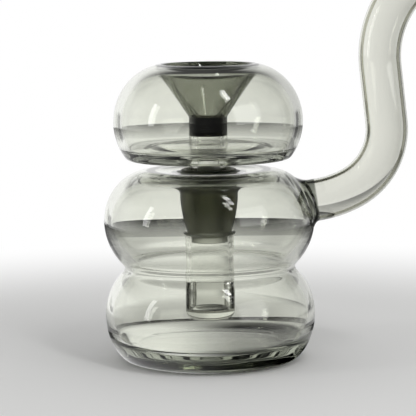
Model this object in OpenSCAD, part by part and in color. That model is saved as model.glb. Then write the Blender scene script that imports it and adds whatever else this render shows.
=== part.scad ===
/* [Vessel] */
// Largest radius of both water chambers
chamber_r = 40; // [36:0.5:44]
// Thickness of the blown walls
wall = 3; // [2:0.1:3.6]
// Radius of the flat face that the vessel stands on
base_r = 30; // [26:0.5:32]
// Thickness of the glass in the middle of the base
base_t = 6; // [4:0.5:8]
// Height of the lower chamber's widest line
lower_mid_z = 17.9; // [16:0.1:20]
// Height of the pinched seam between the two chambers
waist_z = 35.5; // [34.5:0.1:36.5]
// Radius of the round crease in the seam
crease_r = 2; // [1.5:0.1:2.5]
// Height of the upper chamber's widest line
upper_mid_z = 53.75; // [52:0.25:55]
// Height of the ridge round the upper chamber's flat top
dome_z = 72.7; // [71:0.1:74]
// Radius of that ridge
ridge_r = 23; // [20:0.5:26]
// How far the top dips from the ridge to the socket
dome_dip = 0.7; // [0:0.1:1.2]

/* [Ground joint] */
// Diameter at the wide end of the 14/23 taper
joint_d = 14.5; // [14.5:14.5]
// Length of the ground taper
joint_l = 23; // [23:23]
// Radial room between plug and socket
joint_gap = 0.05; // [0.02:0.01:0.1]
// Height of the socket's ground mouth
joint_top_z = 70.5; // [69.5:0.1:71]
// Outer radius of the socket's barrel
socket_r = 10.9; // [10.2:0.1:11.5]

/* [Downstem] */
// Outer radius of the downstem
downstem_r = 9.3; // [8.8:0.1:9.8]
// Wall of the downstem
downstem_t = 1.8; // [1.4:0.1:2]
// Height where the diffuser is welded on
diffuser_top_z = 28.7; // [27:0.1:31]
// Height of the diffuser's closed end
diffuser_tip_z = 15.9; // [13:0.1:18]
// Wall of the diffuser
diffuser_t = 2.8; // [2.2:0.1:3.2]
// Thickness of the diffuser's solid end
diffuser_floor = 4.3; // [3:0.1:5]
// Width of each sawn slot
slot_w = 1.2; // [0.8:0.1:1.6]
// Slots in each side of the diffuser
slots_per_side = 3; // [1:3]
// Angle between neighbouring slots
slot_step = 24; // [20:1:30]

/* [Bowl] */
// Largest radius of the bowl's bubble
bowl_r = 35.8; // [33:0.1:38]
// Height of the bubble's widest line
bowl_mid_z = 91; // [90:0.1:92]
// Height of the bubble's foot ring
bowl_foot_z = 76.6; // [76.4:0.1:77]
// How far the bubble's underside is pushed up inside the ring
kick_h = 2.6; // [2:0.1:3]
// Radius of the rounded mouth edge's centre line
lip_r = 18.2; // [17:0.1:19]
// Height of the mouth edge
lip_z = 112.7; // [112:0.1:114]
// Slope of the funnel's side from upright, in degrees
funnel_a = 33; // [30:1:36]
// Thickness of the funnel's side
funnel_t = 2.6; // [2:0.1:3]
// Radius of the hole through the neck
hole_r = 1.25; // [1:0.05:1.6]
// Height where the neck ends and the stem's bore begins
neck_z = 85.5; // [84:0.1:87]
// Bore radius of the stem
stem_bore_r = 4.55; // [4:0.05:5]

/* [Mouthpiece] */
// Outer radius of the S-bend tube
tube_r = 8; // [7.5:0.1:8.5]
// Wall of the tube
tube_t = 1.4; // [1.4:0.1:2.4]
// Distance from the axis to the collar's outer face
collar_x = 40.8; // [40.4:0.1:42]
// Height of the tube's centre at that face
collar_z = 60.6; // [58:0.1:62]
// Rise of the tube where it leaves the chamber, in degrees
leave_a = 8; // [0:1:15]
// Radius of the thickened lip
tip_r = 8.9; // [8.5:0.1:9.5]

/* [Hidden] */
$fn = 72;
steps = 14;                                    // straight pieces in a quarter turn of an outline
smoke = [0.62, 0.64, 0.56, 0.5];
pale = [0.84, 0.86, 0.78, 0.5];
dark = [0.08, 0.08, 0.07, 0.9];
frost = [0.45, 0.46, 0.40, 0.8];

// chamber outlines: quarter ovals given by centre radius, half width and half height
lower_top_c = 17.2;
lower_top_h = 22.4;
lower_foot_c = 27;
lower_foot_h = 19.1;
foot_turn = 62;                                // where the oval hands over to the foot's corner
over_turn = 5;                                 // a quarter oval that goes on upwards starts this far round
upper_foot_c = 13.5;
upper_foot_h = 24.6;
bowl_top_c = 15.4;
bowl_top_h = 21.9;
bowl_foot_c = 13.4;
bowl_foot_h = 22.7;
lower_crease_turn = 46.1;
upper_crease_turn = 43.3;
crease_c = 34.3;                               // centre radius of the waist's crease
crease_trim = 9;                               // the crease stops this short of touching the ovals

plug_r = joint_d / 2 - joint_gap;
joint_foot_z = joint_top_z - joint_l;
taper = 1 / 20;                                // radius lost for each millimetre of depth
plug_stand = 0.5;                              // the plug is set this much above the socket's ends
plug_top_z = joint_top_z + plug_stand;
plug_foot_z = joint_foot_z + plug_stand;
collar_seat_r = 12;                            // where the chamber's top meets the socket's collar
dome_seat_z = dome_z - dome_dip;
skirt_r = 8.1;                                 // foot of the socket's barrel
skirt_z = joint_foot_z + 0.5;
tail_r = 6.9;
tail_bore_r = 5.4;
tail_z = 44.4;
weld_z = joint_foot_z + 0.1;
downstem_bore_r = downstem_r - downstem_t;
kick_z = bowl_foot_z + kick_h;
bowl_floor_z = bowl_foot_z + 4;                // the floor inside is flat
kick_in_r = 18.4;
kick_out_r = 24.5;
foot_bend_r = 1.8;
foot_bend_c = 29.9;
foot_bend_z = bowl_foot_z + foot_bend_r + 0.15;
bowl_foot_turn = 36.5;
lip_turn = 75;                                 // where the bubble's oval meets the mouth's round edge
lip_edge_r = 2.1;
stem_r = joint_d / 2;
port_r = tube_r - tube_t;
weld_a = 18;                                   // the chamber's side faces up by this much at the port
weld_spread = 3.4;
fine = 180;                                    // facets of the shapes that are cut where they curve two ways

// points of an oval arc, from angle a0 to a1 in degrees
function oval(c, z, w, h, a0, a1, n) =
    [for (i = [0:n]) let (a = a0 + (a1 - a0) * i / n) [c + w * cos(a), z + h * sin(a)]];
// points of a round arc
function arc(c, z, r, a0, a1, n) = oval(c, z, r, r, a0, a1, n);
// points of a soft ramp that is level at both ends
function ramp(p, q, n) =
    [for (i = [0:n]) [p[0] + (q[0] - p[0]) * i / n, p[1] + (q[1] - p[1]) * (1 - cos(180 * i / n)) / 2]];
// points of a corner that starts level at p and steepens up to q
function corner(p, q, n) =
    [for (i = [0:n]) let (s = i / n) [p[0] + (q[0] - p[0]) * s, p[1] + (q[1] - p[1]) * s * s]];
// the same outline moved to its left by t, which leaves an even wall
function heading(p, i) =
    let (d = p[min(i + 1, len(p) - 1)] - p[max(i - 1, 0)]) d / norm(d);
function inset(p, t) =
    [for (i = [0:len(p) - 1]) let (d = heading(p, i)) p[i] + t * [-d[1], d[0]]];
function reversed(p) = [for (i = [len(p) - 1:-1:0]) p[i]];

// ---- outlines, each from the foot upwards ----

foot_side = oval(lower_foot_c, lower_mid_z, chamber_r - lower_foot_c, lower_foot_h, -foot_turn, 0, steps);
foot_corner = corner([base_r, 0], foot_side[0], 5);
lower_side = concat(foot_side,
    oval(lower_top_c, lower_mid_z, chamber_r - lower_top_c, lower_top_h, over_turn, lower_crease_turn, steps / 2),
    arc(crease_c, waist_z, crease_r, 180 + lower_crease_turn - crease_trim, 180, 4));
upper_side = concat(
    arc(crease_c, waist_z, crease_r, 180, 180 - upper_crease_turn + crease_trim, 4),
    oval(upper_foot_c, upper_mid_z, chamber_r - upper_foot_c, upper_foot_h, -upper_crease_turn, 0, steps / 2),
    oval(ridge_r, upper_mid_z, chamber_r - ridge_r, dome_z - upper_mid_z, over_turn, 90, steps),
    ramp([ridge_r - 1.5, dome_z - 0.02], [collar_seat_r, dome_seat_z], 6));
bowl_side = concat(
    ramp([kick_in_r, kick_z], [kick_out_r, bowl_foot_z], 8),
    arc(foot_bend_c, foot_bend_z, foot_bend_r, -80, -40, 4),
    oval(bowl_foot_c, bowl_mid_z, bowl_r - bowl_foot_c, bowl_foot_h, -bowl_foot_turn, 0, steps / 2),
    oval(bowl_top_c, bowl_mid_z, bowl_r - bowl_top_c, bowl_top_h, over_turn, lip_turn, steps));

// ---- vessel ----

module lathe(outline) {
    rotate_extrude() polygon(outline);
}

module lower_chamber() {
    side = concat(foot_corner, [for (i = [1:len(lower_side) - 1]) lower_side[i]]);
    floor_rise = 3.2;
    floor_bend_w = 6;
    bore = [for (p = inset(side, wall)) if (p[1] > base_t + floor_rise) p];
    floor_edge = corner([bore[0][0] - floor_bend_w, base_t], bore[0], 5);
    color(smoke)
    lathe(concat([[0, 0]], side, reversed(bore), reversed(floor_edge), [[0, base_t]]));
}

// the upper chamber filled in, from its outside face (depth 0) or from its inside face (depth wall)
module upper_fill(depth) {
    lathe(concat([[0, waist_z]], inset(upper_side, depth), [[0, dome_seat_z - depth]]));
}

module along_port() {
    translate([collar_x, 0, collar_z]) rotate([0, 90 - leave_a, 0]) children();
}

module upper_chamber() {
    reach = 14;
    color(smoke)
    difference() {
        lathe(concat(upper_side, reversed(inset(upper_side, wall))));
        along_port() translate([0, 0, -reach]) cylinder(h = reach + 6, r = tube_r);
    }
}

module socket_collar() {
    fillet = 3.6;
    under_z = dome_seat_z - wall;
    mouth_r = stem_r + 0.7;                    // clear of the stem that stands in it
    bead_r = 1.1;
    bead_c = (mouth_r + collar_seat_r) / 2 - 0.2;
    color(smoke)
    lathe(concat(
        [[mouth_r, joint_top_z], [socket_r, joint_top_z], [socket_r, under_z - fillet]],
        arc(socket_r + fillet, under_z - fillet, fillet, 180, 90, 6),
        [[collar_seat_r, under_z], [collar_seat_r, dome_seat_z]],
        arc(bead_c, dome_seat_z - 0.1, bead_r, 20, 160, 6),
        [[mouth_r, dome_seat_z - 0.4]]));
}

// the socket's barrel is straight down to barrel_z and then narrows in a long curve
module socket() {
    barrel_z = 64;
    narrow = socket_r - skirt_r;
    barrel = [for (i = [0:10]) let (s = i / 10)
        [socket_r - narrow * pow(s, 1.6), barrel_z - (barrel_z - skirt_z) * s]];
    color(frost)
    lathe(concat(
        [[joint_d / 2, joint_top_z], [joint_d / 2 - joint_l * taper, joint_foot_z]],
        [[tail_bore_r, joint_foot_z - 0.9], [tail_bore_r, tail_z], [tail_r, tail_z]],
        [[tail_r, weld_z - 0.8], [downstem_bore_r, weld_z]],
        reversed(barrel),
        [[socket_r, joint_top_z]]));
}

// a ring of melted glass in the corner between the socket's skirt and the downstem's end
module downstem_weld() {
    bead_r = 0.9;
    color(smoke)
    lathe(concat(
        [[downstem_bore_r, weld_z]],
        arc(downstem_r - 0.3, weld_z + bead_r, bead_r, -90, 90, 6),
        [[skirt_r + 0.36, skirt_z + 1.2], [skirt_r + 0.02, skirt_z]]));
}

module downstem() {
    h = weld_z - diffuser_top_z;
    color(smoke)
    difference() {
        translate([0, 0, diffuser_top_z]) cylinder(h = h, r = downstem_r);
        translate([0, 0, diffuser_top_z - 1]) cylinder(h = h + 2, r = downstem_bore_r);
    }
}

module diffuser() {
    bore_r = downstem_r - diffuser_t;
    floor_z = diffuser_tip_z + diffuser_floor;
    round_r = 4;
    slot_z = floor_z + 0.6;
    slot_h = 7;
    color(smoke)
    difference() {
        lathe(concat(
            [[0, diffuser_tip_z]],
            arc(downstem_r - round_r, diffuser_tip_z + round_r, round_r, -90, 0, 6),
            [[downstem_r, diffuser_top_z], [bore_r, diffuser_top_z], [bore_r, floor_z], [0, floor_z]]));
        for (side = [0, 180], i = [0:slots_per_side - 1])
            rotate(side + (i - (slots_per_side - 1) / 2) * slot_step)
                translate([bore_r - 1, -slot_w / 2, slot_z])
                    cube([diffuser_t + 2, slot_w, slot_h]);
    }
}

// ---- mouthpiece: round bends and straight lengths in the X-Z plane, fused end to end ----

// [turn in degrees, bend radius] for a bend, [0, length] for a straight length
route = [[20, 40.3], [34.1, 25.2], [34.1, 25.2], [0, 20.8], [-48.2, 38], [0, 7]];

module ring_2d(outer, inner) {
    difference() {
        circle(r = outer);
        circle(r = inner);
    }
}

// a bend that starts at the origin along +Z and turns towards -X
module bend(turn, bend_r) {
    translate([-bend_r, 0, 0]) rotate([90, 0, 0])
        rotate_extrude(angle = turn) translate([bend_r, 0])
            ring_2d(tube_r, port_r);
}

// moves what follows to the end of that length
module at_end(step) {
    if (step[0] == 0)
        translate([0, 0, step[1]]) children();
    else
        translate([sign(-step[0]) * step[1] * (1 - cos(step[0])), 0, step[1] * sin(abs(step[0]))])
            rotate([0, -step[0], 0]) children();
}

// moves what follows to where length n of the route starts
module at_start(n, i = 0) {
    if (i < n) at_end(route[i]) at_start(n, i + 1) children();
    else children();
}

module mouthpiece_length(n) {
    step = route[n];
    color(pale)
    along_port() at_start(n) {
        if (step[0] == 0) linear_extrude(step[1]) ring_2d(tube_r, port_r);
        else if (step[0] > 0) bend(step[0], step[1]);
        else mirror([1, 0, 0]) bend(-step[0], step[1]);
    }
}

module mouthpiece_root_bend() { mouthpiece_length(0); }
module mouthpiece_elbow_lower() { mouthpiece_length(1); }
module mouthpiece_elbow_upper() { mouthpiece_length(2); }
module mouthpiece_upright() { mouthpiece_length(3); }
module mouthpiece_top_bend() { mouthpiece_length(4); }
module mouthpiece_end() { mouthpiece_length(5); }

// the mouth end, melted back into a round thick edge
module mouthpiece_lip() {
    outer_c = tube_r - 0.4;
    outer_r = tip_r - outer_c;
    mid_z = 2.55;
    inner_r = 0.9;
    color(pale)
    along_port() at_start(len(route))
        lathe(concat(
            [[port_r, 0], [tube_r, 0]],
            arc(outer_c, mid_z, outer_r, -30, 90, 7),
            arc(port_r + inner_r, mid_z + outer_r - inner_r, inner_r, 90, 180, 4)));
}

// a short smoked tube set through the chamber's wall, with a spread weld where it is melted on
module mouthpiece_collar() {
    sleeve_l = 10;
    weld_top = 1.4;                            // how far the weld climbs up the tube
    weld_foot = -7;                            // it starts inside the chamber, and the chamber is cut away
    weld_in_r = port_r + 0.6;
    color(smoke) {
        difference() {
            along_port() translate([0, 0, -sleeve_l]) cylinder(h = sleeve_l, r = tube_r);
            along_port() translate([0, 0, -sleeve_l - 1]) cylinder(h = sleeve_l + 4, r = port_r);
            upper_fill(wall);
        }
        difference() {
            translate([chamber_r - 1, 0, collar_z]) rotate([0, 90 - weld_a, 0]) lathe(concat(
                [[weld_in_r, weld_foot], [tube_r + weld_spread, weld_foot]],
                arc(tube_r + weld_spread, weld_top, weld_spread, -100, -175, 8),
                [[weld_in_r, weld_top]]), $fn = fine);
            along_port() translate([0, 0, -2 * sleeve_l]) cylinder(h = 2 * sleeve_l + 1, r = tube_r - 0.5);
            along_port() cylinder(h = sleeve_l, r = 3 * tube_r);
            upper_fill(0, $fn = fine);
        }
    }
}

// ---- bowl ----

module bowl_bubble() {
    side = concat([[stem_r, kick_z]], bowl_side);
    bore = [for (p = inset(bowl_side, wall))
        if (p[1] > bowl_floor_z + 0.4 && (p[1] < bowl_mid_z || p[0] > lip_r + 0.6)) p];
    color(smoke)
    lathe(concat(
        side,
        arc(lip_r, lip_z - lip_edge_r, lip_edge_r, lip_turn, 90, 2),
        [[lip_r, funnel_outer_z(lip_r)]],
        reversed(bore),
        [[kick_out_r, bowl_floor_z], [stem_r + 1, bowl_floor_z + 0.1], [stem_r, bowl_floor_z + 0.9]]));
}

// the funnel's inner cone touches the mouth's round edge, and its outer cone lies funnel_t behind
touch_r = lip_r - lip_edge_r * cos(funnel_a);
touch_z = lip_z - lip_edge_r + lip_edge_r * sin(funnel_a);
function funnel_inner_r(z) = touch_r - (touch_z - z) * tan(funnel_a);
function funnel_outer_z(r) =
    touch_z + (r - touch_r - funnel_t / cos(funnel_a)) / tan(funnel_a);
funnel_foot_z = funnel_outer_z(stem_r);

module bowl_funnel() {
    color(smoke)
    lathe(concat(
        [[funnel_inner_r(funnel_foot_z), funnel_foot_z], [stem_r, funnel_foot_z]],
        [[lip_r, funnel_outer_z(lip_r)]],
        arc(lip_r, lip_z - lip_edge_r, lip_edge_r, 90, 180 - funnel_a, 6)));
}

module bowl_neck() {
    dish = 1.6;
    color(dark)
    lathe([[hole_r, neck_z], [stem_r, neck_z], [stem_r, funnel_foot_z],
           [funnel_inner_r(funnel_foot_z), funnel_foot_z], [hole_r, funnel_foot_z - dish]]);
}

module bowl_stem() {
    color(smoke)
    difference() {
        translate([0, 0, plug_top_z]) cylinder(h = neck_z - plug_top_z, r = stem_r);
        translate([0, 0, plug_top_z - 1]) cylinder(h = neck_z - plug_top_z + 2, r = stem_bore_r);
    }
}

module ground_plug() {
    top_r = plug_r + plug_stand * taper;
    foot_r = plug_r - (joint_l - plug_stand) * taper;
    chamfer = 0.4;
    color(frost)
    lathe([[stem_bore_r, plug_foot_z], [foot_r - chamfer, plug_foot_z], [foot_r, plug_foot_z + chamfer],
           [top_r, plug_top_z], [stem_bore_r, plug_top_z]]);
}

lower_chamber();
upper_chamber();
socket_collar();
socket();
downstem_weld();
downstem();
diffuser();
mouthpiece_collar();
mouthpiece_root_bend();
mouthpiece_elbow_lower();
mouthpiece_elbow_upper();
mouthpiece_upright();
mouthpiece_top_bend();
mouthpiece_end();
mouthpiece_lip();
bowl_bubble();
bowl_funnel();
bowl_neck();
bowl_stem();
ground_plug();
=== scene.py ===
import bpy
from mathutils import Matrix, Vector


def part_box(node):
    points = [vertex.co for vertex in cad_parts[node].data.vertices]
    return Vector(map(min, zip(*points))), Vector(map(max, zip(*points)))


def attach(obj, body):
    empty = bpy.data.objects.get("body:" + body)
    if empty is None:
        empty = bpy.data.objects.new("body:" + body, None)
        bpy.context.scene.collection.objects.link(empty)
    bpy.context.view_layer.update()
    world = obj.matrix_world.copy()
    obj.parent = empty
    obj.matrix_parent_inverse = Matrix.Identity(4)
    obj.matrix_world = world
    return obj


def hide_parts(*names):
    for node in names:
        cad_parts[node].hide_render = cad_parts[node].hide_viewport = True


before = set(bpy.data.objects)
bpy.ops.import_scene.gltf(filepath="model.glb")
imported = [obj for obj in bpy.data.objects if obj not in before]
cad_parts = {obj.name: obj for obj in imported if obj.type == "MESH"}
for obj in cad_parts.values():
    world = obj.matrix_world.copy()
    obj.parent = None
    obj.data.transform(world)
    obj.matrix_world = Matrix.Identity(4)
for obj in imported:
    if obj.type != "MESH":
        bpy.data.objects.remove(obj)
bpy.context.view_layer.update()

import math

import bmesh
import bpy
import numpy as np
from mathutils import Vector

mm = 0.001

# ---- Camera ----
# A long lens from a little above the middle of the bowl, tipped down to the chambers.
# It stands a hair out of upright, as a camera on a tripod does.
eye_distance = 0.740
eye_height = 0.1501
eye_tip = math.radians(7.1)
eye_roll = math.radians(0.74)
# The chambers' axis stands this far to the right of the view's centre.
axis_offset = 0.44 * mm

camera_data = bpy.data.cameras.new("camera")
camera_data.sensor_width = 36
camera_data.lens = 170
camera_data.clip_start = 0.01
camera = bpy.data.objects.new("camera", camera_data)
bpy.context.scene.collection.objects.link(camera)
camera.location = (-axis_offset, -eye_distance, eye_height)
camera.rotation_mode = "XYZ"
camera.rotation_euler = (math.pi / 2 - eye_tip, 0, 0)
camera.rotation_euler.rotate_axis("Z", -eye_roll)
bpy.context.scene.camera = camera


# ---- Upper and lower water chambers ----
# Two bubbles of smoked borosilicate glass, blown separately and melted together at a pinched waist.
# The foot is puddled thick and flat, and the walls thin out a little where the bubbles are widest.
lower_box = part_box("lower_chamber")
upper_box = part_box("upper_chamber")
chamber_r = upper_box[1][0]
waist_z = lower_box[1][2]
dome_z = upper_box[1][2]
base_r = 30 * mm
base_edge = 1 * mm
base_thickness = 6 * mm
floor_bend = 7 * mm
floor_lift = 0.15 * mm
wall = 3 * mm
wall_swing = 0.10
lower_mid_z = 17.9 * mm
upper_mid_z = 53.75 * mm
# Each side is two ovals that meet at the widest line: how far out the oval's centre is, and its half height.
lower_belly_c, lower_belly_h = 27 * mm, 19.1 * mm
lower_shoulder_c, lower_shoulder_h = 17.2 * mm, 22.4 * mm
upper_belly_c, upper_belly_h = 13.5 * mm, 24.6 * mm
# The crease at the waist is a small round, and a soft ridge runs round the dome's flat top.
crease_c = 34.3 * mm
crease_r = 2 * mm
ridge_r = 23 * mm
ridge_edge = 1.5 * mm
collar_seat_r = 12 * mm
collar_margin = 0.5 * mm
dome_seat_z = dome_z - 0.7 * mm
# Flat places in a curve stay this much inside the piece's box.
hair = 0.02 * mm


def oval(centre_r, centre_z, half_width, half_height, start, end, steps=40):
    """Points along an oval arc between two turns in degrees."""
    turns = np.radians(np.linspace(start, end, steps))
    return np.stack([centre_r + half_width * np.cos(turns), centre_z + half_height * np.sin(turns)], axis=1)


def ramp(start, end, steps=20):
    """Points along a slope that is level at both ends."""
    s = np.linspace(0, 1, steps)
    start, end = np.array(start), np.array(end)
    rise = (1 - np.cos(np.pi * s)) / 2
    return np.stack([start[0] + (end[0] - start[0]) * s, start[1] + (end[1] - start[1]) * rise], axis=1)


def soften(line, spacing=0.5 * mm, reach=3):
    """The line resampled evenly, with each corner melted round over a few steps. Its ends stay put."""
    line = np.array(line)
    run = np.concatenate([[0], np.cumsum(np.linalg.norm(np.diff(line, axis=0), axis=1))])
    even = np.linspace(0, run[-1], max(8, int(run[-1] / spacing)))
    points = np.stack([np.interp(even, run, line[:, k]) for k in (0, 1)], axis=1)
    for _ in range(reach):
        points[1:-1] = (points[:-2] + 2 * points[1:-1] + points[2:]) / 4
    return points


def inset(line, depth):
    """The line moved to its left by depth, which may change along it."""
    ahead = np.gradient(line, axis=0)
    ahead /= np.linalg.norm(ahead, axis=1)[:, None]
    return line + np.stack([-ahead[:, 1], ahead[:, 0]], axis=1) * np.reshape(depth, (-1, 1))


def turned(name, line, around, ring=True):
    """A closed mesh turned round the Z axis from an outline: a closed loop, or a line from axis to axis."""
    line = np.array(line)
    turns = np.linspace(0, 2 * math.pi, around, endpoint=False)
    body = line if ring else line[1:-1]
    count = len(body)
    grid = np.stack([np.outer(body[:, 0], np.cos(turns)), np.outer(body[:, 0], np.sin(turns)),
                     np.repeat(body[:, 1:2], around, axis=1)], axis=2)
    points = grid.reshape(-1, 3).tolist()
    faces = []
    for i in range(count if ring else count - 1):
        low, high = i * around, (i + 1) % count * around
        for j in range(around):
            k = (j + 1) % around
            faces.append((low + j, low + k, high + k, high + j))
    if not ring:
        first, last = len(points), len(points) + 1
        points += [(0, 0, line[0][1]), (0, 0, line[-1][1])]
        top = (count - 1) * around
        for j in range(around):
            k = (j + 1) % around
            faces += [(first, k, j), (last, top + j, top + k)]
    mesh = bpy.data.meshes.new(name)
    mesh.from_pydata(points, [], faces)
    piece = bpy.data.objects.new(name, mesh)
    bpy.context.scene.collection.objects.link(piece)
    return piece


def finish_mesh(piece, sharp=40):
    """Faces turned outwards and shaded smooth, apart from edges sharper than the angle."""
    work = bmesh.new()
    work.from_mesh(piece.data)
    bmesh.ops.remove_doubles(work, verts=work.verts, dist=0.001 * mm)
    bmesh.ops.recalc_face_normals(work, faces=work.faces)
    work.to_mesh(piece.data)
    work.free()
    piece.data.shade_smooth()
    piece.data.set_sharp_from_angle(angle=math.radians(sharp))


def cut(piece, tool):
    """Takes the tool's shape out of the piece, and throws the tool away."""
    change = piece.modifiers.new("cut", "BOOLEAN")
    change.operation = "DIFFERENCE"
    change.solver = "EXACT"
    change.object = tool
    depsgraph = bpy.context.evaluated_depsgraph_get()
    shaped = bpy.data.meshes.new_from_object(piece.evaluated_get(depsgraph))
    piece.modifiers.remove(change)
    piece.data = shaped
    bpy.data.objects.remove(tool)


lower_side = np.concatenate([
    [[0, 0], [base_r - base_edge, 0]],
    oval(lower_belly_c, lower_mid_z, chamber_r - lower_belly_c, lower_belly_h, -62, 0),
    oval(lower_shoulder_c, lower_mid_z, chamber_r - lower_shoulder_c, lower_shoulder_h, 3, 46)])
upper_side = np.concatenate([
    oval(crease_c, waist_z, crease_r, crease_r, 217, 146, 12),
    oval(upper_belly_c, upper_mid_z, chamber_r - upper_belly_c, upper_belly_h, -43, 0),
    oval(ridge_r, upper_mid_z, chamber_r - ridge_r, dome_z - upper_mid_z, 3, 90),
    ramp((ridge_r - ridge_edge, dome_z - hair), (collar_seat_r, dome_seat_z))])
outside = soften(np.concatenate([lower_side, upper_side]))
swing = np.cos(2 * math.pi * (outside[:, 1] - lower_mid_z) / (upper_mid_z - lower_mid_z) + math.pi)
inside = inset(outside, wall * (1 + wall_swing * swing))
above_floor = inside[:, 1] > base_thickness + wall
clear_of_collar = inside[:, 0] > collar_seat_r - collar_margin
inside = inside[above_floor & clear_of_collar]
floor_line = [[0, base_thickness], [inside[0][0] - floor_bend, base_thickness + floor_lift]]
inside = soften(np.concatenate([floor_line, inside]), reach=8)
inside[-1][0] = collar_seat_r
chambers = turned("chambers", np.concatenate([outside, inside[::-1]]), around=256, ring=False)

# The round port in the upper chamber's side, which the mouthpiece's collar is set through.
port_rise = math.radians(8)
tube_r = 8 * mm
bore_r = 6.6 * mm
tube_sides = 96
port_x = 40.8 * mm
port_z = 60.6 * mm
port_dir = Vector((math.cos(port_rise), 0, math.sin(port_rise)))


def rod(name, start, direction, length, radius):
    """A plain round cutter."""
    bpy.ops.mesh.primitive_cylinder_add(vertices=tube_sides, radius=radius, depth=length)
    tool = bpy.context.object
    tool.name = name
    tool.rotation_mode = "QUATERNION"
    tool.rotation_quaternion = Vector(direction).to_track_quat("Z", "Y")
    tool.location = Vector(start) + Vector(direction) * (length / 2)
    bpy.context.view_layer.update()
    return tool


cutter_back = 14 * mm
cutter_length = 20 * mm
port_start = Vector((port_x, 0, port_z)) - port_dir * cutter_back
cut(chambers, rod("port_cutter", port_start, port_dir, cutter_length, tube_r))
finish_mesh(chambers)
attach(chambers, "vessel")
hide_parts("lower_chamber", "upper_chamber")


def feed(tree, socket, value):
    """Links another node's output to the socket, or sets a plain value on it."""
    if isinstance(value, bpy.types.NodeSocket):
        tree.links.new(value, socket)
    else:
        socket.default_value = value


def reckon(tree, operation, *values, clamp=False):
    """The result of one sum on outputs and plain numbers."""
    step = tree.nodes.new("ShaderNodeMath")
    step.operation = operation
    step.use_clamp = clamp
    for socket, value in zip(step.inputs, values):
        feed(tree, socket, value)
    return step.outputs[0]


def swapped(tree, factor, before, after, kind="FLOAT"):
    """The value before, which turns into the value after as the factor goes from 0 to 1."""
    mix = tree.nodes.new("ShaderNodeMix")
    mix.data_type = kind
    feed(tree, mix.inputs["Factor"], factor)
    feed(tree, mix.inputs["A"], before)
    feed(tree, mix.inputs["B"], after)
    return mix.outputs["Result"]


def new_group(name, inputs, outputs):
    """An empty shader group with number sockets: its tree, what it is given and what it puts out."""
    group = bpy.data.node_groups.new(name, "ShaderNodeTree")
    for label, value in inputs:
        socket = group.interface.new_socket(label, in_out="INPUT", socket_type="NodeSocketFloat")
        socket.default_value = value
    for label in outputs:
        group.interface.new_socket(label, in_out="OUTPUT", socket_type="NodeSocketFloat")
    return group, group.nodes.new("NodeGroupInput").outputs, group.nodes.new("NodeGroupOutput").inputs


def noise(tree, place, scale, detail, roughness=0.5):
    """Soft noise through the solid glass."""
    cloud = tree.nodes.new("ShaderNodeTexNoise")
    cloud.inputs["Detail"].default_value = detail
    cloud.inputs["Roughness"].default_value = roughness
    tree.links.new(place, cloud.inputs["Vector"])
    tree.links.new(scale, cloud.inputs["Scale"])
    return cloud.outputs["Fac"]


# Blown glass keeps faint ripples in its surface. Ground glass has an even frost, with a fine grain.
blown_surface, given, result = new_group(
    "blown surface", (("Ripple Size", 40.0), ("Ripple Depth", 0.5), ("Haze", 0.01), ("Grain Size", 90.0)),
    ("Height", "Roughness"))
in_glass = blown_surface.nodes.new("ShaderNodeTexCoord").outputs["Object"]
ripple = noise(blown_surface, in_glass, given["Ripple Size"], 1.5, 0.4)
blown_surface.links.new(reckon(blown_surface, "MULTIPLY", ripple, given["Ripple Depth"]), result["Height"])
smear = reckon(blown_surface, "ADD", noise(blown_surface, in_glass, given["Grain Size"], 4), 0.5)
blown_surface.links.new(reckon(blown_surface, "MULTIPLY", smear, given["Haze"]), result["Roughness"])

# A mask that is 1 in a band of a value and fades out at the band's two edges.
band_mask, given, result = new_group(
    "band mask", (("Value", 0.0), ("Centre", 0.0), ("Half Width", 0.0), ("Softness", 0.0)), ("Mask",))
off_centre = reckon(band_mask, "ABSOLUTE", reckon(band_mask, "SUBTRACT", given["Value"], given["Centre"]))
depth_in = reckon(band_mask, "SUBTRACT", given["Half Width"], off_centre)
depth_in = reckon(band_mask, "DIVIDE", depth_in, given["Softness"])
band_mask.links.new(reckon(band_mask, "ADD", depth_in, 0.5, clamp=True), result["Mask"])


def in_band(tree, value, centre, half_width, softness):
    """The band's mask of a value."""
    band = tree.nodes.new("ShaderNodeGroup")
    band.node_tree = band_mask
    tree.links.new(value, band.inputs["Value"])
    band.inputs["Centre"].default_value = centre
    band.inputs["Half Width"].default_value = half_width
    band.inputs["Softness"].default_value = softness
    return band.outputs["Mask"]


def clear_glass(name, smoke, tint=(1, 1, 1), ripple_depth=0.5, haze=0.01, grain=90):
    """Glass: smoke is the light lost per metre in red, green and blue, and tint is what each face lets by."""
    material = bpy.data.materials.new(name)
    material.use_nodes = True
    tree = material.node_tree
    shader = tree.nodes["Principled BSDF"]
    shader.inputs["Base Color"].default_value = (*tint, 1)
    shader.inputs["Transmission Weight"].default_value = 1
    shader.inputs["IOR"].default_value = 1.47
    surface = tree.nodes.new("ShaderNodeGroup")
    surface.node_tree = blown_surface
    surface.inputs["Ripple Depth"].default_value = ripple_depth
    surface.inputs["Haze"].default_value = haze
    surface.inputs["Grain Size"].default_value = grain
    bump = tree.nodes.new("ShaderNodeBump")
    bump.inputs["Distance"].default_value = 0.1 * mm
    bump.inputs["Strength"].default_value = 0.1
    tree.links.new(surface.outputs["Height"], bump.inputs["Height"])
    tree.links.new(bump.outputs["Normal"], shader.inputs["Normal"])
    tree.links.new(surface.outputs["Roughness"], shader.inputs["Roughness"])
    absorb = tree.nodes.new("ShaderNodeVolumeAbsorption")
    headroom = 1.2
    strongest = max(smoke) * headroom
    absorb.inputs["Density"].default_value = strongest
    absorb.inputs["Color"].default_value = (*[1 - part / strongest for part in smoke], 1)
    tree.links.new(absorb.outputs["Volume"], tree.nodes["Material Output"].inputs["Volume"])
    return material


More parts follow.
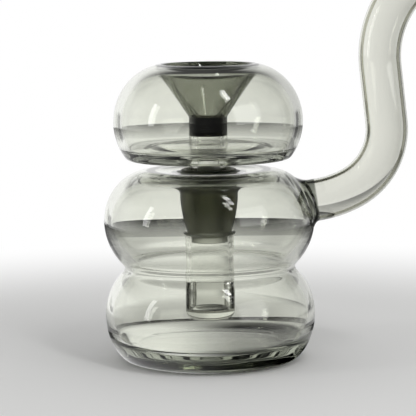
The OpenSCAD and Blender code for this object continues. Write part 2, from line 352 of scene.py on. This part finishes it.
def paint_shade_zones(material, colour, *zones):
    """Paints shade into zones of the glass's colour. A zone is where all its bands of radius, height or side
    overlap, and each band gives what it measures, its middle, half width and softness."""
    tree = material.node_tree
    place = tree.nodes.new("ShaderNodeTexCoord").outputs["Object"]
    split = tree.nodes.new("ShaderNodeSeparateXYZ")
    tree.links.new(place, split.inputs["Vector"])
    flat = tree.nodes.new("ShaderNodeVectorMath")
    flat.operation = "MULTIPLY"
    flat.inputs[1].default_value = (1, 1, 0)
    tree.links.new(place, flat.inputs[0])
    outward = tree.nodes.new("ShaderNodeVectorMath")
    outward.operation = "LENGTH"
    tree.links.new(flat.outputs["Vector"], outward.inputs[0])
    measures = {"radius": outward.outputs["Value"], "height": split.outputs["Z"],
                "side": reckon(tree, "ABSOLUTE", split.outputs["X"])}
    base_colour = tree.nodes["Principled BSDF"].inputs["Base Color"]
    shade = tuple(base_colour.default_value)
    for zone in zones:
        mask = 1.0
        for measure, centre, half_width, softness in zone:
            band = in_band(tree, measures[measure], centre, half_width, softness)
            mask = reckon(tree, "MULTIPLY", mask, band)
        shade = swapped(tree, mask, shade, (*colour, 1), "RGBA")
    tree.links.new(shade, base_colour)


smoke_tint = (0.941, 0.950, 0.903)
chamber_smoke = (13, 12.3, 14.5)
# Painted shade: a dark ring painted into the glass's colour round the edge of the dome's flat top, where the
# ridge draws a dark line.
dome_ring_shade = (0.05, 0.05, 0.045)
chamber_glass = clear_glass("chamber glass", chamber_smoke, smoke_tint)
paint_shade_zones(chamber_glass, dome_ring_shade,
       [("radius", 22.0 * mm, 1.7 * mm, 0.8 * mm), ("height", dome_z - 0.5 * mm, 0.9 * mm, 0.3 * mm)])
chambers.data.materials.append(chamber_glass)

# ---- Mouthpiece collar ----
# A short length of smoked tube set through the port and melted to it. Its weld spreads over the chamber's wall
# outside, and ends inside in a round edge.
weld_overlap = 0.05 * mm
weld_spread = 4.5 * mm
weld_rise = 3 * mm
weld_lift = 0.01 * mm
inner_edge = 2 * mm
throat_gap = 0.1 * mm
port_up = Vector((-math.sin(port_rise), 0, math.cos(port_rise)))
port_origin = np.array([port_x, 0, port_z])


def radius_at(line, z):
    """Radius of the chamber's face at a height, above its waist."""
    above = line[line[:, 1] > waist_z + 2 * mm]
    return np.interp(z, above[:, 1], above[:, 0])


def reach_to(line, radius, turn, sunk=0.0):
    """How far along the port's axis a line beside it meets the chamber's face."""
    side = np.array(port_up) * math.cos(turn) + np.array([0, 1, 0]) * math.sin(turn)
    near, far = -16 * mm, 6 * mm
    halvings = 40                              # each one halves the stretch that holds the meeting point
    for _ in range(halvings):
        middle = (near + far) / 2
        point = port_origin + side * radius + np.array(port_dir) * middle
        if math.hypot(point[0], point[1]) < radius_at(line, point[2]) - sunk:
            near = middle
        else:
            far = middle
    return (near + far) / 2


def bend_curve(start, corner, end, steps):
    """A smooth curve that leaves start towards corner and arrives at end from it."""
    t = np.linspace(0, 1, steps)[:, None]
    start, corner, end = np.array(start), np.array(corner), np.array(end)
    return (1 - t) ** 2 * start + 2 * t * (1 - t) * corner + t ** 2 * end


def collar_section(turn):
    """One slice of the collar at an angle round the port: distance along the axis, and radius."""
    corner = reach_to(outside, tube_r, turn)
    foot = reach_to(outside, tube_r + weld_spread, turn, -weld_lift)
    throat = min(corner + weld_rise, -throat_gap)
    weld = bend_curve((throat, tube_r), (corner, tube_r), (foot, tube_r + weld_spread), 16)
    under = [(reach_to(outside, r, turn, weld_overlap), r)
             for r in np.linspace(tube_r + weld_spread, tube_r + weld_overlap, 8)]
    back = reach_to(inside, tube_r + weld_overlap, turn)
    edge = bend_curve((back, tube_r + weld_overlap), (reach_to(inside, bore_r, turn), bore_r),
                      (reach_to(inside, bore_r, turn) + inner_edge, bore_r), 8)
    return np.concatenate([[(0, tube_r)], weld, under, edge, [(0, bore_r)]])


def wrapped(name, rings):
    """A closed mesh from rings of points, each joined to the next and the last to the first."""
    rings = np.array(rings)
    count, around = rings.shape[:2]
    faces = []
    for i in range(count):
        for j in range(around):
            k, n = (j + 1) % around, (i + 1) % count
            faces.append((i * around + j, i * around + k, n * around + k, n * around + j))
    mesh = bpy.data.meshes.new(name)
    mesh.from_pydata(rings.reshape(-1, 3).tolist(), [], faces)
    piece = bpy.data.objects.new(name, mesh)
    bpy.context.scene.collection.objects.link(piece)
    return piece


rings = []
for turn in np.linspace(0, 2 * math.pi, tube_sides, endpoint=False):
    side = np.array(port_up) * math.cos(turn) + np.array([0, 1, 0]) * math.sin(turn)
    rings.append([port_origin + np.array(port_dir) * s + side * r for s, r in collar_section(turn)])
mouthpiece_collar = wrapped("mouthpiece_collar", rings)
finish_mesh(mouthpiece_collar, sharp=50)
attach(mouthpiece_collar, "vessel")
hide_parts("mouthpiece_collar")
collar_smoke = (480, 465, 520)
collar_ripple = 3
collar_glass = clear_glass("collar glass", collar_smoke, ripple_depth=collar_ripple)
mouthpiece_collar.data.materials.append(collar_glass)

# ---- Mouthpiece tube ----
# Pale borosilicate tube, bent into an S over a flame and melted to the collar. Its mouth end is melted
# back to a round, thick lip.
# Each step is a turn in degrees with its bend radius, or no turn and a length.
route = [(20, 40.3), (68.2, 25.2), (0, 20.8), (-48.2, 38), (0, 7)]


def along_route():
    """Points and headings along the tube's centre, about a millimetre apart."""
    spot = np.array([port_x, port_z])
    heading = port_rise
    spots, headings = [spot - weld_overlap * np.array([math.cos(heading), math.sin(heading)])], [heading]
    for turn, size in route:
        turn = math.radians(turn)
        length = size * mm if turn == 0 else abs(turn) * size * mm
        steps = max(2, int(length / mm))
        for _ in range(steps):
            middle = heading + turn / steps / 2
            spot = spot + np.array([math.cos(middle), math.sin(middle)]) * length / steps
            heading += turn / steps
            spots.append(spot)
            headings.append(heading)
    return spots, headings


spots, headings = along_route()
outer_run = [(p, h, 0.0, tube_r) for p, h in zip(spots, headings)]
inner_run = [(p, h, 0.0, bore_r) for p, h in zip(spots, headings)]
end_spot, end_heading = spots[-1], headings[-1]
# The lip from its outside to its bore: millimetres past the tube's end, and radius.
lip_profile = [[0, tube_r / mm], [0.7, 8.1], [1.6, 8.7], [2.4, 8.85], [3.2, 8.6], [3.75, 8.05],
               [3.85, 7.5], [3.6, 6.95], [2.9, 6.66], [2.0, bore_r / mm], [0, bore_r / mm]]
lip_spacing = 0.3 * mm
lip_line = soften(np.array(lip_profile) * mm, lip_spacing)
lip_run = [(end_spot, end_heading, s, r) for s, r in lip_line[1:-1]]
rings = []
for spot, heading, ahead, radius in outer_run + lip_run + inner_run[::-1]:
    forward = np.array([math.cos(heading), 0, math.sin(heading)])
    upward = np.array([-math.sin(heading), 0, math.cos(heading)])
    centre = np.array([spot[0], 0, spot[1]]) + forward * ahead
    rings.append([centre + radius * (upward * math.cos(t) + np.array([0, 1, 0]) * math.sin(t))
                  for t in np.linspace(0, 2 * math.pi, tube_sides, endpoint=False)])
mouthpiece_tube = wrapped("mouthpiece_tube", rings)
finish_mesh(mouthpiece_tube, sharp=50)
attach(mouthpiece_tube, "vessel")
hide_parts("mouthpiece_root_bend", "mouthpiece_elbow_lower", "mouthpiece_elbow_upper",
            "mouthpiece_upright", "mouthpiece_top_bend", "mouthpiece_end", "mouthpiece_lip")
pale_smoke = (22, 20, 27)
pale_tint = (0.95, 0.95, 0.915)
pale_ripple = 0.3
pale_glass = clear_glass("pale glass", pale_smoke, pale_tint, ripple_depth=pale_ripple)
mouthpiece_tube.data.materials.append(pale_glass)


def painted_edge_line(material, colour, inner, outer):
    """Paints shade into the outer skin's colour just inside the tube's edge, between two slants in degrees."""
    softness = 0.03
    tree = material.node_tree
    slant = tree.nodes.new("ShaderNodeLayerWeight")
    slant.inputs["Blend"].default_value = 0.5
    near, far = (1 - math.cos(math.radians(turn)) for turn in (inner, outer))
    line = in_band(tree, slant.outputs["Facing"], (near + far) / 2, (far - near) / 2, softness)
    skin = tree.nodes.new("ShaderNodeAttribute")
    skin.attribute_name = "outer_skin"
    behind = tree.nodes.new("ShaderNodeNewGeometry").outputs["Backfacing"]
    front = reckon(tree, "SUBTRACT", skin.outputs["Fac"], behind, clamp=True)
    base_colour = tree.nodes["Principled BSDF"].inputs["Base Color"]
    plain = tuple(base_colour.default_value)
    shade = swapped(tree, reckon(tree, "MULTIPLY", line, front), plain, (*colour, 1), "RGBA")
    tree.links.new(shade, base_colour)


# Painted shade: a dark olive line painted into the outer skin's colour just inside the tube's edges, where the
# wall draws a dark line.
outer_count = len(outer_run) * tube_sides
is_outer = [float(k < outer_count) for k in range(len(mouthpiece_tube.data.vertices))]
skin = mouthpiece_tube.data.attributes.new("outer_skin", "FLOAT", "POINT")
skin.data.foreach_set("value", is_outer)
tube_edge_shade = (0.22, 0.22, 0.15)
painted_edge_line(pale_glass, tube_edge_shade, 51, 67)

# ---- Socket ----
# The female half of a 14/23 ground joint, melted into the upper chamber's top by a thick seal ring.
# The taper inside is ground to a frost, and a narrow tail under it goes into the downstem.
joint_top_z = 70.5 * mm
joint_foot_z = 47.5 * mm
joint_r = 7.25 * mm
joint_foot_r = 6.1 * mm
socket_r = 10.9 * mm
tail_z = 44.4 * mm
tail_r = 6.9 * mm
tail_bore = 5.4 * mm
barrel_top_z = 64 * mm
barrel_length = 16 * mm
barrel_taper = 2.8 * mm
barrel_bow = 1.6
barrel = np.array([(socket_r - barrel_taper * s ** barrel_bow, barrel_top_z - barrel_length * s)
                   for s in np.linspace(0, 1, 30)])
ring_c, ring_z, ring_r = 9.7 * mm, 71.9 * mm, 1.1 * mm
seal_fillet = 3.6 * mm
dome_under = dome_seat_z - wall
socket_skin = np.concatenate([
    [[joint_foot_r, joint_foot_z], [joint_r, joint_top_z], [joint_r + 0.5 * mm, joint_top_z + 0.5 * mm],
     [joint_r + 0.7 * mm, dome_seat_z - 0.5 * mm]],
    oval(ring_c, ring_z, ring_r, ring_r, 160, 20, 14),
    [[collar_seat_r + weld_overlap, dome_seat_z], [collar_seat_r + weld_overlap, dome_under]],
    oval(socket_r + seal_fillet, dome_under - seal_fillet, seal_fillet, seal_fillet, 90, 180, 16),
    barrel,
    [[tail_r, joint_foot_z - 0.7 * mm], [tail_r, tail_z], [tail_bore, tail_z],
     [tail_bore, joint_foot_z - 0.9 * mm]]])
socket = turned("socket", socket_skin, around=160)
finish_mesh(socket)
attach(socket, "vessel")
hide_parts("socket", "socket_collar")
ground_smoke = (190, 186, 235)
ground_haze = 0.35
ground_grain = 1500
socket.data.materials.append(clear_glass("ground glass", ground_smoke, haze=ground_haze, grain=ground_grain))

# ---- Downstem ----
# Straight clear tube that carries the smoke down into the water. A small bead melted round its upper end
# seals it to the socket's tail.
stem_top_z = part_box("downstem")[1][2]
diffuser_top_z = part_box("downstem")[0][2]
downstem_r = 9.3 * mm
downstem_bore = 7.5 * mm
bead_r = 0.9 * mm
bead_z = stem_top_z + bead_r
downstem_skin = np.concatenate([
    [[downstem_bore, diffuser_top_z], [downstem_r, diffuser_top_z], [downstem_r, stem_top_z]],
    oval(downstem_r - 0.3 * mm, bead_z, bead_r, bead_r, -60, 90, 12),
    [[8.3 * mm, bead_z + 0.75 * mm], [8.05 * mm, stem_top_z + 0.4 * mm], [downstem_bore, stem_top_z]]])
downstem = turned("downstem", downstem_skin, around=160)
finish_mesh(downstem)
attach(downstem, "vessel")
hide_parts("downstem", "downstem_weld")
stem_tint = (0.985, 0.987, 0.972)
stem_smoke = (6, 5.5, 8)
clear_tube = clear_glass("clear tube", stem_smoke, stem_tint)
downstem.data.materials.append(clear_tube)

# ---- Diffuser ----
# Thick-walled closed end of the same clear glass, melted onto the downstem. Slots sawn in its two sides break
# the smoke into bubbles.
diffuser_bore = 6.5 * mm
tip_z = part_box("diffuser")[0][2]
tip_bend = 4 * mm
floor_z = tip_z + 4.3 * mm
floor_bend_r = 1.5 * mm
slot_width = 1.2 * mm
slot_height = 7 * mm
slot_mid_z = floor_z + 4.1 * mm
slot_spacing = 24                              # degrees between neighbouring slots
saw_reach = 6 * mm
saw_r = 8 * mm
diffuser_skin = np.concatenate([
    [[0, tip_z]],
    oval(downstem_r - tip_bend, tip_z + tip_bend, tip_bend, tip_bend, -90, 0, 16),
    [[downstem_r, diffuser_top_z + weld_overlap], [diffuser_bore, diffuser_top_z + weld_overlap]],
    oval(diffuser_bore - floor_bend_r, floor_z + floor_bend_r, floor_bend_r, floor_bend_r, 0, -90, 8),
    [[0, floor_z]]])
diffuser = turned("diffuser", diffuser_skin, around=160, ring=False)
for side in (0, 180):
    for step in (-slot_spacing, 0, slot_spacing):
        turn = math.radians(side + step)
        bpy.ops.mesh.primitive_cube_add(size=1)
        saw = bpy.context.object
        saw.scale = (saw_reach, slot_width, slot_height)
        saw.rotation_euler = (0, 0, turn)
        saw.location = (saw_r * math.cos(turn), saw_r * math.sin(turn), slot_mid_z)
        bpy.context.view_layer.update()
        cut(diffuser, saw)
finish_mesh(diffuser)
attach(diffuser, "vessel")
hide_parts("diffuser")
diffuser_glass = clear_glass("diffuser glass", stem_smoke, stem_tint)
# Painted shade: its thick side walls, its floor and its tip draw dark lines in the glass, and these are painted
# into its colour.
diffuser_edge_shade = (0.06, 0.06, 0.05)
paint_shade_zones(diffuser_glass, diffuser_edge_shade,
       [("side", 8.7 * mm, 1.4 * mm, 0.3 * mm), ("height", slot_mid_z, 4.0 * mm, 0.8 * mm)],
       [("height", floor_z, 0.5 * mm, 0.3 * mm)],
       [("height", tip_z, 0.4 * mm, 0.2 * mm)])
diffuser.data.materials.append(diffuser_glass)

# ---- Bowl shell ----
# The blown outer bubble of the bowl, in smoked glass, from its kicked-up foot to the round edge of its mouth.
# Its foot is thick and its inside nearly flat, and it closes round the stem under the neck.
bowl_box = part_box("bowl_bubble")
bowl_r = bowl_box[1][0]
bowl_foot_z = bowl_box[0][2]
lip_z = bowl_box[1][2]
bowl_mid_z = 91 * mm
# Like the chambers' sides: an oval's centre radius and half height, under and over the widest line.
bowl_belly_c, bowl_belly_h = 13.4 * mm, 22.7 * mm
bowl_shoulder_c, bowl_shoulder_h = 15.4 * mm, 21.9 * mm
lip_r = 18.2 * mm
edge_r = 2.1 * mm
kick_rise = 2.6 * mm
bowl_floor_z = bowl_foot_z + 4.0 * mm
kick_in_r = 18.4 * mm
kick_out_r = 24.5 * mm
heel_c, heel_rise, heel_r = 29.9 * mm, 1.95 * mm, 1.8 * mm
funnel_lean = 33                               # degrees from upright
funnel_slope = math.radians(funnel_lean)
funnel_wall = 2.6 * mm
stem_r = 7.25 * mm
touch_r = lip_r - edge_r * math.cos(funnel_slope)
touch_z = lip_z - edge_r + edge_r * math.sin(funnel_slope)


def funnel_inner_r(z):
    """Radius of the funnel's inner face at a height."""
    return touch_r - (touch_z - z) * math.tan(funnel_slope)


def funnel_outer_z(r):
    """Height of the funnel's outer face at a radius."""
    return touch_z + (r - touch_r - funnel_wall / math.cos(funnel_slope)) / math.tan(funnel_slope)


bowl_side = np.concatenate([
    [[stem_r - weld_overlap, bowl_foot_z + kick_rise]],
    ramp((kick_in_r, bowl_foot_z + kick_rise), (kick_out_r, bowl_foot_z + hair)),
    oval(heel_c, bowl_foot_z + heel_rise, heel_r, heel_r, -80, -40, 8),
    oval(bowl_belly_c, bowl_mid_z, bowl_r - bowl_belly_c, bowl_belly_h, -36.5, 0),
    oval(bowl_shoulder_c, bowl_mid_z, bowl_r - bowl_shoulder_c, bowl_shoulder_h, 3, 75),
    oval(lip_r, lip_z - edge_r, edge_r, edge_r, 75, 180 - funnel_lean, 16)])
bowl_spacing = 0.4 * mm
bowl_outside = soften(bowl_side, bowl_spacing)
outside_lip = bowl_outside[:, 0] > lip_r + 0.8 * mm
below_middle = bowl_outside[:, 1] < bowl_mid_z
bowl_inside = inset(bowl_outside[outside_lip | below_middle], wall)
bowl_inside = bowl_inside[bowl_inside[:, 1] > bowl_floor_z + 0.4 * mm]
seam_r = lip_r - 0.6 * mm
bowl_inside = soften(np.concatenate([
    [[stem_r - weld_overlap, bowl_floor_z + 0.9 * mm], [stem_r + 0.8 * mm, bowl_floor_z + 0.1 * mm],
     [kick_out_r, bowl_floor_z]],
    bowl_inside,
    [[lip_r + 0.3 * mm, funnel_outer_z(lip_r) + 0.2 * mm], [seam_r, funnel_outer_z(seam_r)]]]),
    bowl_spacing, reach=4)
bowl_shell = turned("bowl_shell", np.concatenate([bowl_outside, bowl_inside[::-1]]), around=256)
finish_mesh(bowl_shell)
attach(bowl_shell, "bowl")
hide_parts("bowl_bubble")
bowl_glass = clear_glass("bowl glass", chamber_smoke, smoke_tint)
bowl_shell.data.materials.append(bowl_glass)

# ---- Bowl funnel ----
# Cone of darker smoked glass that holds the packing. It is melted into the edge of the bowl's mouth at the
# top, and onto the neck at its foot.
neck_top_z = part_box("bowl_neck")[1][2]
sunk = weld_overlap * np.array([math.sin(funnel_slope), math.cos(funnel_slope)])
bowl_funnel = turned("bowl_funnel", [
    np.array([touch_r, touch_z]) + sunk, [funnel_inner_r(neck_top_z), neck_top_z], [stem_r, neck_top_z],
    [stem_r + 0.4 * mm, funnel_outer_z(stem_r + 0.4 * mm)],
    np.array([seam_r, funnel_outer_z(seam_r)]) + sunk], around=256)
finish_mesh(bowl_funnel)
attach(bowl_funnel, "bowl")
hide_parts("bowl_funnel")
funnel_smoke = (200, 194, 226)
bowl_funnel.data.materials.append(clear_glass("funnel glass", funnel_smoke))

# ---- Bowl neck ----
# Solid rod of nearly black glass between the funnel and the stem. Its top is dished, and one small hole
# goes down it.
neck_foot_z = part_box("bowl_neck")[0][2]
hole_r = 1.25 * mm
dish_z = neck_top_z + weld_overlap
bowl_neck = turned("bowl_neck", [
    [hole_r, neck_foot_z], [stem_r, neck_foot_z], [stem_r, dish_z], [funnel_inner_r(dish_z), dish_z],
    [hole_r + 1 * mm, dish_z - 1.0 * mm], [hole_r, dish_z - 1.7 * mm]], around=128)
finish_mesh(bowl_neck)
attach(bowl_neck, "bowl")
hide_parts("bowl_neck")
neck_smoke = (520, 515, 620)
bowl_neck.data.materials.append(clear_glass("neck glass", neck_smoke))

# ---- Bowl stem ----
# Clear tube melted under the neck, through the bowl's foot. It carries the bowl and runs down to the
# ground plug.
plug_top_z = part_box("ground_plug")[1][2]
stem_bore = 4.55 * mm
bowl_stem = turned("bowl_stem", [
    [stem_bore, plug_top_z], [stem_r, plug_top_z], [stem_r, neck_foot_z + weld_overlap],
    [stem_bore, neck_foot_z + weld_overlap]], around=128)
finish_mesh(bowl_stem)
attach(bowl_stem, "bowl")
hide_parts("bowl_stem")
bowl_stem.data.materials.append(clear_tube)

# ---- Ground plug ----
# Male half of the 14/23 joint, drawn out of the stem's end and ground to a frost on its taper. It stands in the
# socket by its own weight and lifts out.
plug_foot_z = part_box("ground_plug")[0][2]
plug_top_r = 7.225 * mm
plug_foot_r = 6.075 * mm
plug_chamfer = 0.4 * mm
ground_plug = turned("ground_plug", [
    [stem_bore, plug_foot_z], [plug_foot_r - plug_chamfer, plug_foot_z],
    [plug_foot_r, plug_foot_z + plug_chamfer], [plug_top_r, plug_top_z + weld_overlap],
    [stem_bore, plug_top_z + weld_overlap]], around=128)
finish_mesh(ground_plug)
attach(ground_plug, "bowl")
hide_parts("ground_plug")
plug_glass = clear_glass("plug glass", ground_smoke, haze=ground_haze, grain=ground_grain)
ground_plug.data.materials.append(plug_glass)

# ---- Floor ----
# A pale matt sheet under the object, which runs off into plain white further out. What the glass shows of it is
# shaded: dim in front, bright behind, and darker to the right.
floor_r = 0.34
floor_drop = 0.02 * mm
rim_turns = np.linspace(0, 2 * math.pi, 96, endpoint=False)
rim = [(floor_r * math.cos(t), floor_r * math.sin(t), 0) for t in rim_turns]
floor_mesh = bpy.data.meshes.new("floor")
floor_mesh.from_pydata(rim, [], [tuple(range(len(rim)))])
floor = bpy.data.objects.new("floor", floor_mesh)
bpy.context.scene.collection.objects.link(floor)
floor.location.z = -floor_drop
sheet_colour = (0.84, 0.84, 0.83)
front_level = 0.12
back_level = 1.0
white_from, white_to = 0.13, 0.32
right_reach, right_level = 0.10, 0.25
foot_reach, foot_softness = 46 * mm, 12 * mm
foot_white_x, foot_black_x = -22 * mm, 14 * mm


def fade(tree, value, start, end, before, after, style="SMOOTHSTEP"):
    """A level that goes from before to after as the value goes from start to end."""
    change = tree.nodes.new("ShaderNodeMapRange")
    change.interpolation_type = style
    feed(tree, change.inputs["Value"], value)
    feed(tree, change.inputs["From Min"], start)
    feed(tree, change.inputs["From Max"], end)
    feed(tree, change.inputs["To Min"], before)
    feed(tree, change.inputs["To Max"], after)
    return change.outputs["Result"]


def room_level(tree, back, spread):
    """Level of the surroundings: 1, or in reflections dim in front and bright behind."""
    reflected = tree.nodes.new("ShaderNodeLightPath").outputs["Glossy Depth"]
    behind = fade(tree, back, -spread, spread, front_level, back_level)
    return swapped(tree, reckon(tree, "MINIMUM", reflected, 1.0), 1.0, behind)


def laid_over(tree, mask, under, over):
    """One shader over another, where the mask is 1."""
    mix = tree.nodes.new("ShaderNodeMixShader")
    tree.links.new(mask, mix.inputs["Fac"])
    tree.links.new(under, mix.inputs[1])
    tree.links.new(over, mix.inputs[2])
    return mix.outputs["Shader"]


def glow(tree, strength):
    """A white glow of the given strength."""
    light = tree.nodes.new("ShaderNodeEmission")
    light.inputs["Color"].default_value = (1, 1, 1, 1)
    tree.links.new(strength, light.inputs["Strength"])
    return light.outputs["Emission"]


floor_paint = bpy.data.materials.new("floor paint")
floor_paint.use_nodes = True
paint = floor_paint.node_tree
sheet = paint.nodes["Principled BSDF"]
sheet.inputs["Base Color"].default_value = (*sheet_colour, 1)
sheet.inputs["Roughness"].default_value = 0.7
sheet.inputs["Specular IOR Level"].default_value = 0.1
place = paint.nodes.new("ShaderNodeNewGeometry").outputs["Position"]
away = paint.nodes.new("ShaderNodeVectorMath")
away.operation = "LENGTH"
paint.links.new(place, away.inputs[0])
across = paint.nodes.new("ShaderNodeSeparateXYZ")
paint.links.new(place, across.inputs["Vector"])
path = paint.nodes.new("ShaderNodeLightPath").outputs
in_the_glass = path["Is Glossy Ray"]

# Far out, the sheet turns white. In the glass that white gets darker to the right.
seen = reckon(paint, "ADD", path["Is Camera Ray"], in_the_glass, clamp=True)
far_out = reckon(paint, "MULTIPLY", seen, fade(paint, away.outputs["Value"], white_from, white_to, 0.0, 1.0))
far_right = fade(paint, across.outputs["X"], 0.0, right_reach, 1.0, right_level)
white_level = reckon(paint, "MULTIPLY", room_level(paint, across.outputs["Y"], 0.15),
                     swapped(paint, in_the_glass, 1.0, far_right))
sheet_look = laid_over(paint, far_out, sheet.outputs["BSDF"], glow(paint, white_level))

# Painted light and shade: in the glass, the sheet right under the foot is a glow, white at its left and black
# at its right.
under_foot = in_band(paint, away.outputs["Value"], 0.0, foot_reach, foot_softness)
foot_level = fade(paint, across.outputs["X"], foot_white_x, foot_black_x, 1.0, 0.0)
sheet_look = laid_over(paint, reckon(paint, "MULTIPLY", under_foot, in_the_glass), sheet_look,
                       glow(paint, foot_level))
paint.links.new(sheet_look, paint.nodes["Material Output"].inputs["Surface"])
floor_mesh.materials.append(floor_paint)

# ---- Studio ----
# White all round at eye level for what shows through the glass, and darker overhead. A low dark flag far off
# to each side draws the dark lines inside the glass's edges, and three soft lamps give the glints.
world = bpy.data.worlds.new("studio")
bpy.context.scene.world = world
world.use_nodes = True
sky = world.node_tree
backdrop = sky.nodes["Background"]
backdrop.inputs["Color"].default_value = (1, 1, 1, 1)
path = sky.nodes.new("ShaderNodeLightPath").outputs
split = sky.nodes.new("ShaderNodeSeparateXYZ")
sky.links.new(sky.nodes.new("ShaderNodeTexCoord").outputs["Generated"], split.inputs["Vector"])
to_right, to_back, upward = split.outputs["X"], split.outputs["Y"], split.outputs["Z"]

# Levels of the room round the object, by the way that a line from it points: up, to the right, or to a flag.
matt_level = 0.6
ceiling_from, ceiling_to, ceiling_level = 0.28, 0.62, 0.06
right_from, right_to, right_wall_level = -0.06, 0.30, 0.65
flag_across, flag_half_width = 0.54, 0.07
flag_height, flag_half_height = -0.11, 0.13
flag_edge = 0.04
left_flag, right_flag = 0.30, 0.03
overhead = fade(sky, upward, ceiling_from, ceiling_to, 1.0, ceiling_level)
right_side = fade(sky, to_right, right_from, right_to, 1.0, right_wall_level)
flag_columns = in_band(sky, reckon(sky, "ABSOLUTE", to_right), flag_across, flag_half_width, flag_edge)
flag_rows = in_band(sky, upward, flag_height, flag_half_height, flag_edge)
flag = reckon(sky, "MULTIPLY", flag_columns, flag_rows)
flag_level = fade(sky, to_right, -0.1, 0.1, left_flag, right_flag, "LINEAR")
past_flags = fade(sky, flag, 0.0, 1.0, 1.0, flag_level, "LINEAR")
shown = overhead
for level in (room_level(sky, to_back, 0.35), past_flags, right_side):
    shown = reckon(sky, "MULTIPLY", shown, level)
strength = swapped(sky, path["Is Glossy Ray"], matt_level, shown)
strength = swapped(sky, path["Is Camera Ray"], strength, 1.0)
sky.links.new(strength, backdrop.inputs["Strength"])


def out_of_sight(prop):
    """Leaves the prop in the glass's reflections and refractions only."""
    prop.visible_camera = False
    prop.visible_diffuse = False
    prop.visible_shadow = False


# Grey hoops close round the object put a soft dark band across the middle of each bubble.
hoop_r = 49 * mm
hoop_sides = 96
hoop_colour = (0.03, 0.03, 0.027)


def hoop_paint(name, foot_alpha, top_alpha):
    """Dark paint that thins out from the hoop's top edge to its foot."""
    paint = bpy.data.materials.new(name)
    paint.use_nodes = True
    tree = paint.node_tree
    dark = tree.nodes["Principled BSDF"]
    dark.inputs["Base Color"].default_value = (*hoop_colour, 1)
    split = tree.nodes.new("ShaderNodeSeparateXYZ")
    tree.links.new(tree.nodes.new("ShaderNodeTexCoord").outputs["Generated"], split.inputs["Vector"])
    thickness = fade(tree, split.outputs["Z"], 0.0, 1.0, foot_alpha, top_alpha, "LINEAR")
    thin = tree.nodes.new("ShaderNodeBsdfTransparent").outputs["BSDF"]
    look = laid_over(tree, thickness, thin, dark.outputs["BSDF"])
    tree.links.new(look, tree.nodes["Material Output"].inputs["Surface"])
    return paint


# Each hoop: its name, foot and top, how dark its paint is there, and its tilt up to the right in degrees.
for name, low, high, foot_alpha, top_alpha, tilt in (
        ("lower_hoop", 4 * mm, 8 * mm, 0.7, 1.0, 2.0),
        ("upper_hoop", 38 * mm, 50 * mm, 0.4, 1.0, 0.0),
        ("bowl_hoop", 79 * mm, 86.5 * mm, 0.1, 0.75, 0.0)):
    turns = np.linspace(0, 2 * math.pi, hoop_sides, endpoint=False)
    points = [(hoop_r * math.cos(t), hoop_r * math.sin(t), z - low) for z in (low, high) for t in turns]
    faces = [(j, (j + 1) % hoop_sides, hoop_sides + (j + 1) % hoop_sides, hoop_sides + j)
             for j in range(hoop_sides)]
    hoop_mesh = bpy.data.meshes.new(name)
    hoop_mesh.from_pydata(points, [], faces)
    hoop = bpy.data.objects.new(name, hoop_mesh)
    bpy.context.scene.collection.objects.link(hoop)
    hoop.location.z = low
    hoop.rotation_euler.y = -math.radians(tilt)
    hoop_mesh.materials.append(hoop_paint(name + " paint", foot_alpha, top_alpha))
    out_of_sight(hoop)

# The lamps stand well clear of the object and face its middle.
object_middle = Vector((0, 0, 0.07))


def softbox(name, spot, width, height, watts):
    """A soft rectangular lamp that faces the middle of the object."""
    data = bpy.data.lights.new(name, "AREA")
    data.shape = "RECTANGLE"
    data.size = width
    data.size_y = height
    data.energy = watts
    box = bpy.data.objects.new(name, data)
    bpy.context.scene.collection.objects.link(box)
    box.location = spot
    box.rotation_mode = "QUATERNION"
    box.rotation_quaternion = (object_middle - box.location).to_track_quat("-Z", "Y")


softbox("front_softbox", (0.62, -0.52, 0.34), 0.5, 0.5, 1.4)
softbox("left_softbox", (-0.80, -0.25, 0.30), 0.08, 0.5, 0.8)
softbox("top_softbox", (0.26, -0.42, 0.80), 0.07, 0.30, 1.0)

# A line through two bubbles, the socket and the bowl crosses many faces of glass.
bpy.context.scene.view_settings.view_transform = "Standard"
bpy.context.scene.cycles.max_bounces = 32
bpy.context.scene.cycles.transmission_bounces = 32
bpy.context.scene.cycles.glossy_bounces = 12
